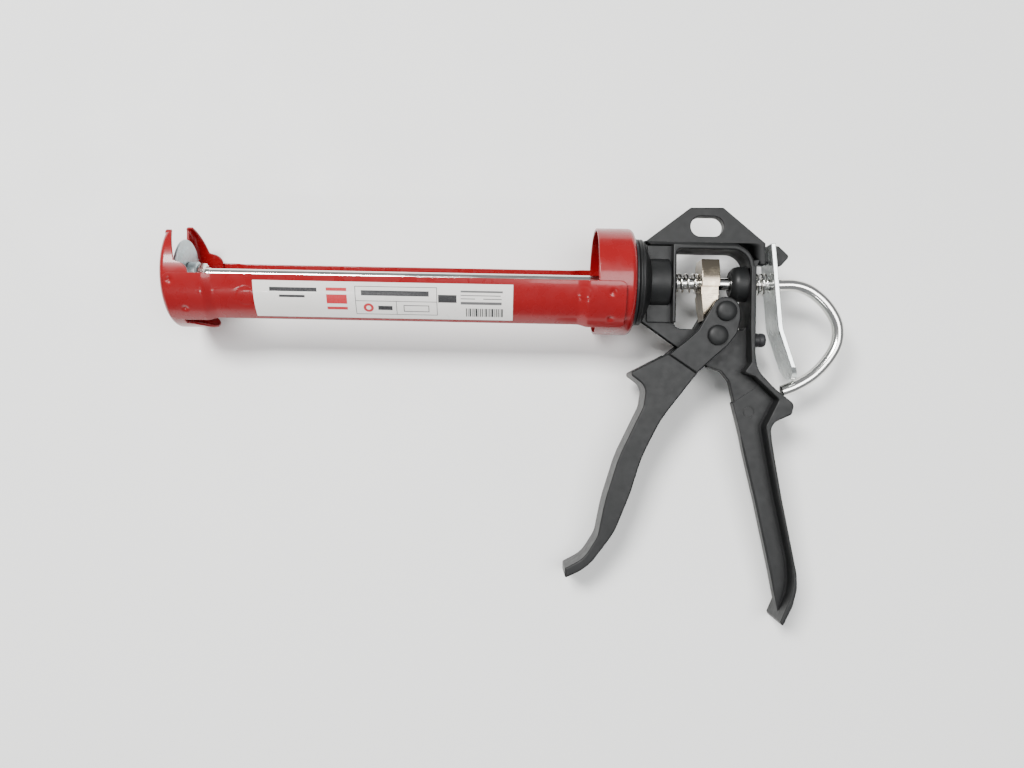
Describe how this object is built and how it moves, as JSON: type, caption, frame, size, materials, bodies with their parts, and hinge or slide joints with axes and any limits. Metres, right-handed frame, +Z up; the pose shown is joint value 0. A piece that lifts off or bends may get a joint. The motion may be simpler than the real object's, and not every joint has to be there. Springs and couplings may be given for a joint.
{
  "type": "caulking gun",
  "caption": "Skeleton caulking gun: swivelling cradle with cups and rails, hooked push rod with piston, cast frame, squeeze trigger and release lever.",
  "frame": {"origin": "bottom centre of the bounding box, with the gun lying on its side on the cradle's rails and the handle's tip", "axes": "+X along the barrel from the nozzle end to the rod's hook, +Y from the handle to the hang plate, +Z up"},
  "size_m": [0.3432, 0.2112, 0.0568],
  "materials": {
    "red_enamel": "gloss",
    "black_casting": "satin",
    "bright_plating": "polished",
    "zinc_plating": "satin",
    "yellow_plating": "satin",
    "label_film": "satin",
    "black_rubber": "matte"
  },
  "bodies": {
    "body": {"body_frame": "black_casting", "pivot_rivet": "zinc_plating", "bumper": "black_rubber", "swivel_washer": "black_rubber", "swivel_nut": "zinc_plating", "drive_spring": "bright_plating", "release_spring": "bright_plating"},
    "cradle": {"front_cup": "red_enamel", "rear_cup": "red_enamel", "rail_near": "red_enamel", "rail_far": "red_enamel", "label": "label_film"},
    "trigger": {"trigger": "black_casting", "drive_pin": "zinc_plating"},
    "grip": {"grip_block": "yellow_plating"},
    "lever": {"release_lever": "bright_plating"},
    "piston": {"piston_plate": "zinc_plating", "piston_spacer": "zinc_plating", "piston_nut": "bright_plating"},
    "rod": {"push_rod": "bright_plating"}
  },
  "joints": [
    {"name": "cradle_spin", "type": "hinge", "parent": "body", "child": "cradle", "pos_m": [0.06134, 0.06637, 0.0287], "axis": [1, 0, 0], "continuous": true},
    {"name": "trigger_squeeze", "type": "hinge", "parent": "body", "child": "trigger", "pos_m": [0.10374, 0.0393, 0.02606], "axis": [0, -0.0971, 0.9953], "range_deg": [0, 27], "stiffness_Nm_per_rad": 0.35, "springref_deg": -45.84},
    {"name": "grip_slide", "type": "slide", "parent": "body", "child": "grip", "axis": [-1, 0, 0], "range_m": [0, 0.0061], "deforming": ["drive_spring"]},
    {"name": "rod_slide", "type": "slide", "parent": "body", "child": "piston", "axis": [1, 0, 0], "range_m": [0, 0.2085]},
    {"name": "rod_spin", "type": "hinge", "parent": "piston", "child": "rod", "pos_m": [0.06134, 0.06637, 0.0287], "axis": [1, 0, 0], "continuous": true},
    {"name": "release_press", "type": "hinge", "parent": "body", "child": "lever", "pos_m": [0.13059, 0.08359, 0.03038], "axis": [0, 0.0971, -0.9953], "range_deg": [0, 5.5], "stiffness_Nm_per_rad": 0.15, "springref_deg": -28.65, "deforming": ["release_spring"]}
  ],
  "couplings": [
    {"joint": "grip_slide", "follows": "trigger_squeeze", "m_per_rad": 0.01273}
  ]
}
